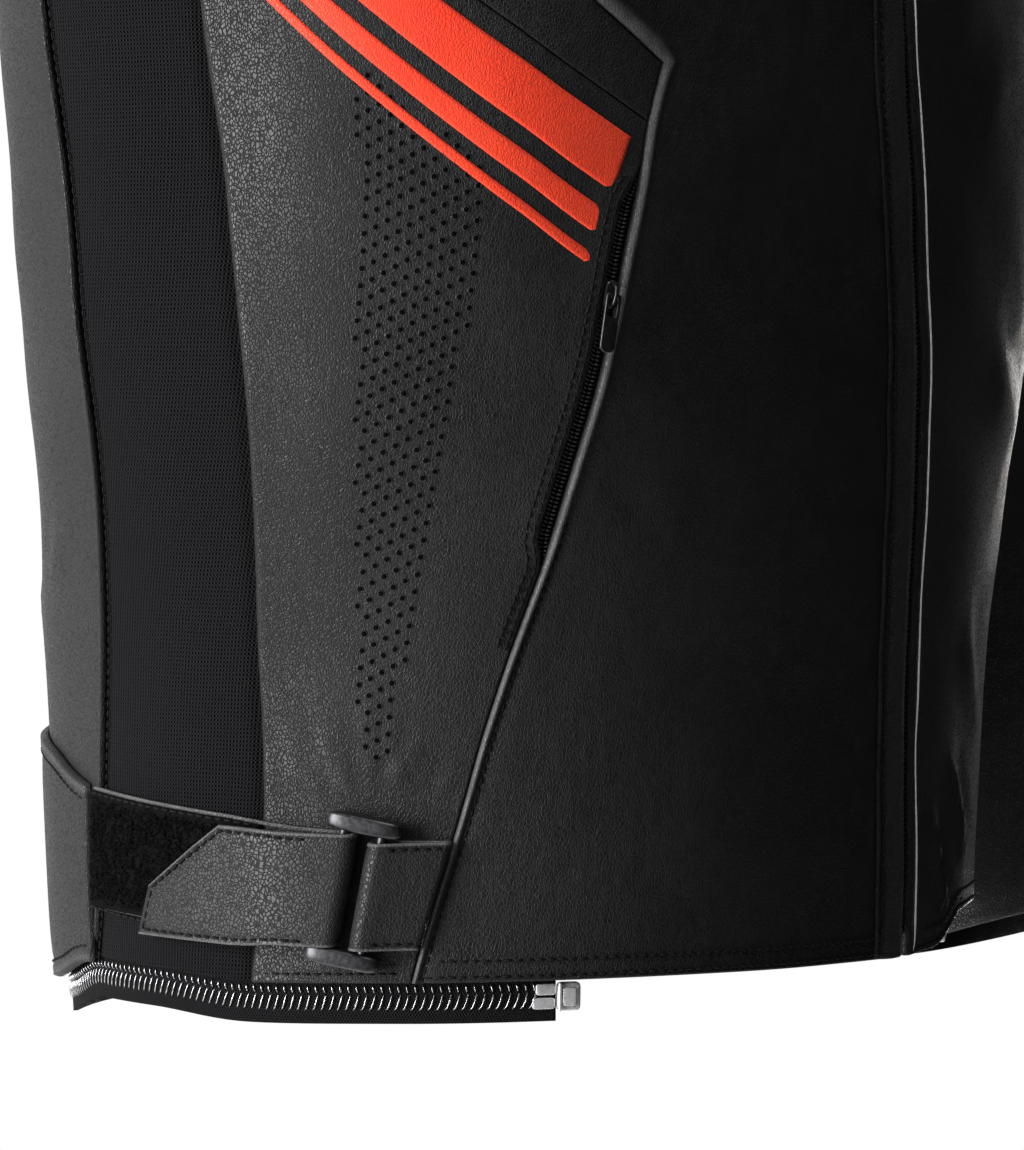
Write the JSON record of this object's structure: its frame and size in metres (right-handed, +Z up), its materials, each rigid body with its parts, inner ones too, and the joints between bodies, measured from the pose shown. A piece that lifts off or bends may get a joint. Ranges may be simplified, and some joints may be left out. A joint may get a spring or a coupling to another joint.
{
  "type": "leather motorcycle jacket",
  "caption": "Short black leather riding jacket with a zip front, stretch side panels, slanted red side bands, zipped side pockets and buckled waist straps.",
  "frame": {"origin": "between the shoulders, level with the sides of the neck opening, where the wearer holds the jacket up", "axes": "+Z up, -Y to the front, -X to the wearer's right"},
  "size_m": [0.9518, 0.5367, 0.6687],
  "materials": {
    "black_leather": "matt grained cowhide with a soft sheen",
    "red_leather": "smooth painted leather",
    "stretch_textile": "fine ribbed weave",
    "loop_fabric": "fuzzy loop pile",
    "zip_tape": "woven tape",
    "dark_metal": "satin dark plating"
  },
  "bodies": {
    "jacket": {"back": "black_leather", "back_hem_belt": "black_leather", "band_mid_left": "red_leather", "band_mid_right": "red_leather", "band_thin_left": "red_leather", "band_thin_right": "red_leather", "band_wide_left": "red_leather", "band_wide_right": "red_leather", "collar": "black_leather", "connection_box_left": "dark_metal", "connection_box_right": "dark_metal", "connection_zip": "zip_tape", "front_left": "black_leather", "front_right": "black_leather", "front_slider": "dark_metal", "front_zip": "zip_tape", "insert_left": "black_leather", "insert_right": "black_leather", "loop_patch_left": "loop_fabric", "loop_patch_right": "loop_fabric", "placket": "black_leather", "pocket_left_slider": "dark_metal", "pocket_right_slider": "dark_metal", "pocket_zip_left": "zip_tape", "pocket_zip_right": "zip_tape", "ring_left": "dark_metal", "ring_right": "dark_metal", "side_front_left": "black_leather", "side_front_right": "black_leather", "sleeve_top_left": "black_leather", "sleeve_top_right": "black_leather", "sleeve_under_left": "black_leather", "sleeve_under_right": "black_leather", "strap_anchor_left": "black_leather", "strap_anchor_right": "black_leather", "stretch_side_left": "stretch_textile", "stretch_side_right": "stretch_textile", "waist_strap_left": "black_leather", "waist_strap_right": "black_leather"},
    "right_pocket_pull": {"pocket_right_pull": "dark_metal"},
    "left_pocket_pull": {"pocket_left_pull": "dark_metal"},
    "front_zip_pull": {"front_pull": "dark_metal"}
  },
  "joints": [
    {"name": "right_pocket_pull_hinge", "type": "hinge", "parent": "jacket", "child": "right_pocket_pull", "pos_m": [-0.14595, -0.11578, -0.38847], "axis": [-0.8556, 0.494, 0.1545], "range_deg": [-6, 150]},
    {"name": "left_pocket_pull_hinge", "type": "hinge", "parent": "jacket", "child": "left_pocket_pull", "pos_m": [0.14595, -0.11578, -0.38847], "axis": [-0.8556, -0.494, -0.1545], "range_deg": [-6, 150]},
    {"name": "front_pull_hinge", "type": "hinge", "parent": "jacket", "child": "front_zip_pull", "pos_m": [-0.00026, -0.10242, -0.09416], "axis": [-0.9999, 0.0041, 0.01], "range_deg": [0, 150]}
  ]
}
